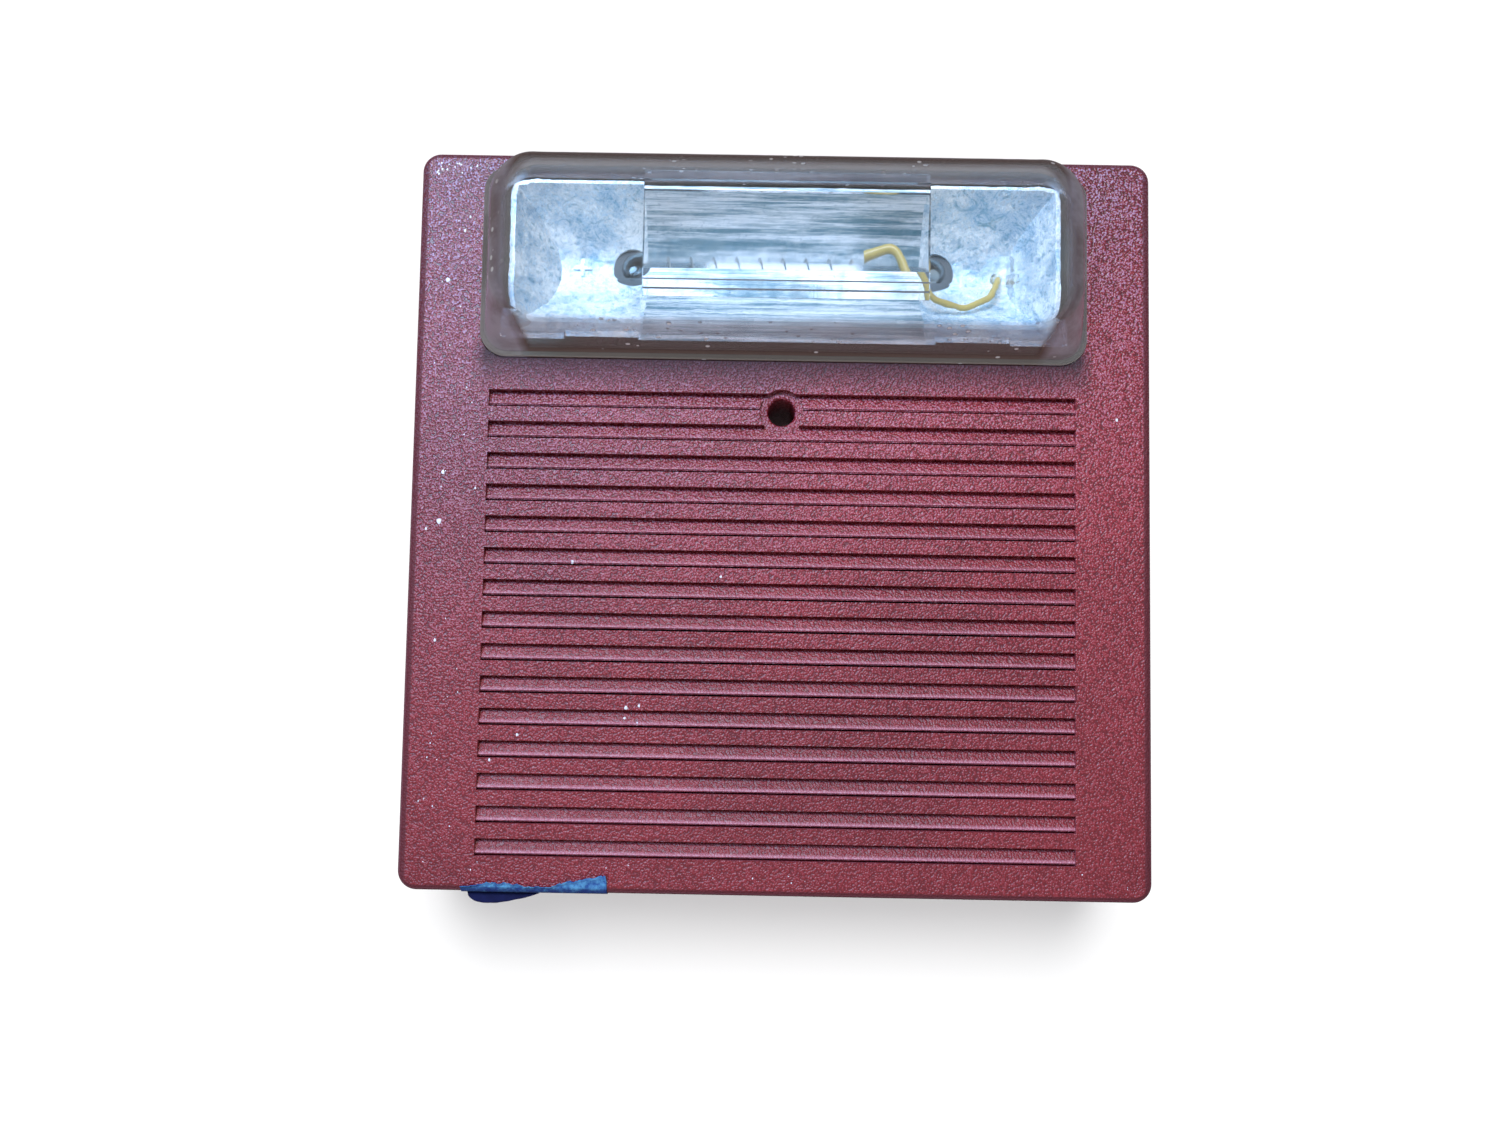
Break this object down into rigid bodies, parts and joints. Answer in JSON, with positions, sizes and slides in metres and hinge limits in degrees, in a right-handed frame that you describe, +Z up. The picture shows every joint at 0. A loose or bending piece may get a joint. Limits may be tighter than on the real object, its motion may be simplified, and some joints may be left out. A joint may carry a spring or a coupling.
{
  "type": "fire alarm sounder beacon",
  "caption": "Square wall-mounted fire-alarm horn strobe: louvred moulded cover, clear strobe window over a reflector and flash tube, sounder, circuit board and wiring terminals behind.",
  "frame": {"origin": "centre of the cover's rear rim, on the wall plane", "axes": "+Y into the wall (the front faces -Y), +Z up, +X to the right as seen from the front"},
  "size_m": [0.1334, 0.048, 0.1334],
  "materials": {
    "red_abs": "moulded red ABS with a fine leathery grain, satin",
    "clear_polycarbonate": "clear polycarbonate, polished",
    "metallised_plastic": "vacuum-metallised plastic, bright",
    "tube_glass": "clear borosilicate glass tube",
    "lead_metal": "tinned wire, semi-bright",
    "grey_silicone": "grey silicone rubber, matt",
    "yellow_insulation": "yellow PVC insulation, satin",
    "clear_silicone": "translucent silicone sealant",
    "zinc_steel": "zinc-plated steel, satin",
    "board_laminate": "green solder-masked glass-epoxy laminate",
    "green_plastic": "green moulded polyamide, satin",
    "tinned_brass": "tin-plated brass, semi-bright",
    "blue_plastic": "blue moulded plastic, satin",
    "black_plastic": "black moulded plastic, satin",
    "white_plastic": "white moulded plastic, satin",
    "capacitor_can": "plain aluminium can",
    "dark_sleeve": "dark blue shrink sleeve, glossy",
    "black_rubber": "black rubber, matt",
    "ferrite": "dark grey ferrite, matt",
    "copper_winding": "enamelled copper wire, glossy",
    "yellow_film": "yellow tape-wrapped film capacitor",
    "red_film": "brick-red dipped film capacitor",
    "resistor_body": "tan lacquered resistor with colour bands",
    "solder": "bright solder",
    "brass_sheet": "rolled brass sheet",
    "piezo_ceramic": "silvered ceramic, matt",
    "red_insulation": "red PVC insulation, satin",
    "black_insulation": "black PVC insulation, satin",
    "black_cloth": "fine black nonwoven dust cloth"
  },
  "bodies": {
    "housing": {"front_cover": "red_abs", "strobe_lens": "clear_polycarbonate", "reflector": "metallised_plastic", "flash_tube": "tube_glass", "tube_cathode": "lead_metal", "tube_anode": "lead_metal", "tube_grommets": "grey_silicone", "trigger_wire": "lead_metal", "trigger_lead": "yellow_insulation", "lead_sealant": "clear_silicone", "lens_screws": "zinc_steel", "reflector_screws": "zinc_steel", "circuit_board": "board_laminate", "board_screws": "zinc_steel", "terminal_block": "green_plastic", "terminal_contacts": "tinned_brass", "dip_switch_body": "blue_plastic", "candela_switch_body": "black_plastic", "flash_capacitor": "capacitor_can", "capacitor_sleeve": "dark_sleeve", "capacitor_seal": "black_rubber", "power_inductor_core": "ferrite", "power_inductor_winding": "copper_winding", "trigger_transformer": "black_plastic", "horn_transformer_core": "ferrite", "horn_transformer_winding": "copper_winding", "power_transistor": "black_plastic", "transistor_tab": "tinned_brass", "film_capacitor": "yellow_film", "small_film_capacitors": "red_film", "electrolytic_capacitors": "dark_sleeve", "rectifier_diodes": "black_plastic", "resistors": "resistor_body", "component_leads": "lead_metal", "solder_joints": "solder", "microcontroller": "black_plastic", "driver_chip": "black_plastic", "chip_legs": "lead_metal", "sounder_housing": "black_plastic", "sounder_back_cover": "black_plastic", "sounder_diaphragm": "brass_sheet", "piezo_disc": "piezo_ceramic", "sounder_seal": "black_rubber", "sounder_lead_red": "red_insulation", "sounder_lead_black": "black_insulation", "sounder_screws": "zinc_steel", "dust_screen": "black_cloth"},
    "terminal_screw_1": {"terminal_screw_1": "zinc_steel"},
    "clamp_cage_1": {"clamp_cage_1": "tinned_brass"},
    "terminal_screw_2": {"terminal_screw_2": "zinc_steel"},
    "clamp_cage_2": {"clamp_cage_2": "tinned_brass"},
    "terminal_screw_3": {"terminal_screw_3": "zinc_steel"},
    "clamp_cage_3": {"clamp_cage_3": "tinned_brass"},
    "terminal_screw_4": {"terminal_screw_4": "zinc_steel"},
    "clamp_cage_4": {"clamp_cage_4": "tinned_brass"},
    "dip_slider_1": {"dip_slider_1": "white_plastic"},
    "dip_slider_2": {"dip_slider_2": "white_plastic"},
    "dip_slider_3": {"dip_slider_3": "white_plastic"},
    "dip_slider_4": {"dip_slider_4": "white_plastic"},
    "candela_knob": {"candela_knob": "white_plastic"}
  },
  "joints": [
    {"name": "terminal_screw_1_turn", "type": "hinge", "parent": "housing", "child": "terminal_screw_1", "pos_m": [-0.01143, -0.003, -0.05], "axis": [0, -1, 0], "range_deg": [0, 1080]},
    {"name": "clamp_cage_1_slide", "type": "slide", "parent": "housing", "child": "clamp_cage_1", "axis": [0, 1, 0], "range_m": [0, 0.00238]},
    {"name": "terminal_screw_2_turn", "type": "hinge", "parent": "housing", "child": "terminal_screw_2", "pos_m": [-0.00381, -0.003, -0.05], "axis": [0, -1, 0], "range_deg": [0, 1080]},
    {"name": "clamp_cage_2_slide", "type": "slide", "parent": "housing", "child": "clamp_cage_2", "axis": [0, 1, 0], "range_m": [0, 0.00238]},
    {"name": "terminal_screw_3_turn", "type": "hinge", "parent": "housing", "child": "terminal_screw_3", "pos_m": [0.00381, -0.003, -0.05], "axis": [0, -1, 0], "range_deg": [0, 1080]},
    {"name": "clamp_cage_3_slide", "type": "slide", "parent": "housing", "child": "clamp_cage_3", "axis": [0, 1, 0], "range_m": [0, 0.00238]},
    {"name": "terminal_screw_4_turn", "type": "hinge", "parent": "housing", "child": "terminal_screw_4", "pos_m": [0.01143, -0.003, -0.05], "axis": [0, -1, 0], "range_deg": [0, 1080]},
    {"name": "clamp_cage_4_slide", "type": "slide", "parent": "housing", "child": "clamp_cage_4", "axis": [0, 1, 0], "range_m": [0, 0.00238]},
    {"name": "dip_slider_1_slide", "type": "slide", "parent": "housing", "child": "dip_slider_1", "axis": [1, 0, 0], "range_m": [0, 0.0016]},
    {"name": "dip_slider_2_slide", "type": "slide", "parent": "housing", "child": "dip_slider_2", "axis": [1, 0, 0], "range_m": [0, 0.0016]},
    {"name": "dip_slider_3_slide", "type": "slide", "parent": "housing", "child": "dip_slider_3", "axis": [1, 0, 0], "range_m": [0, 0.0016]},
    {"name": "dip_slider_4_slide", "type": "slide", "parent": "housing", "child": "dip_slider_4", "axis": [1, 0, 0], "range_m": [0, 0.0016]},
    {"name": "candela_knob_slide", "type": "slide", "parent": "housing", "child": "candela_knob", "axis": [1, 0, 0], "range_m": [0, 0.006]}
  ],
  "couplings": [
    {"joint": "terminal_screw_1_turn", "follows": "clamp_cage_1_slide", "rad_per_m": 7915.8},
    {"joint": "terminal_screw_2_turn", "follows": "clamp_cage_2_slide", "rad_per_m": 7915.8},
    {"joint": "terminal_screw_3_turn", "follows": "clamp_cage_3_slide", "rad_per_m": 7915.8},
    {"joint": "terminal_screw_4_turn", "follows": "clamp_cage_4_slide", "rad_per_m": 7915.8}
  ]
}
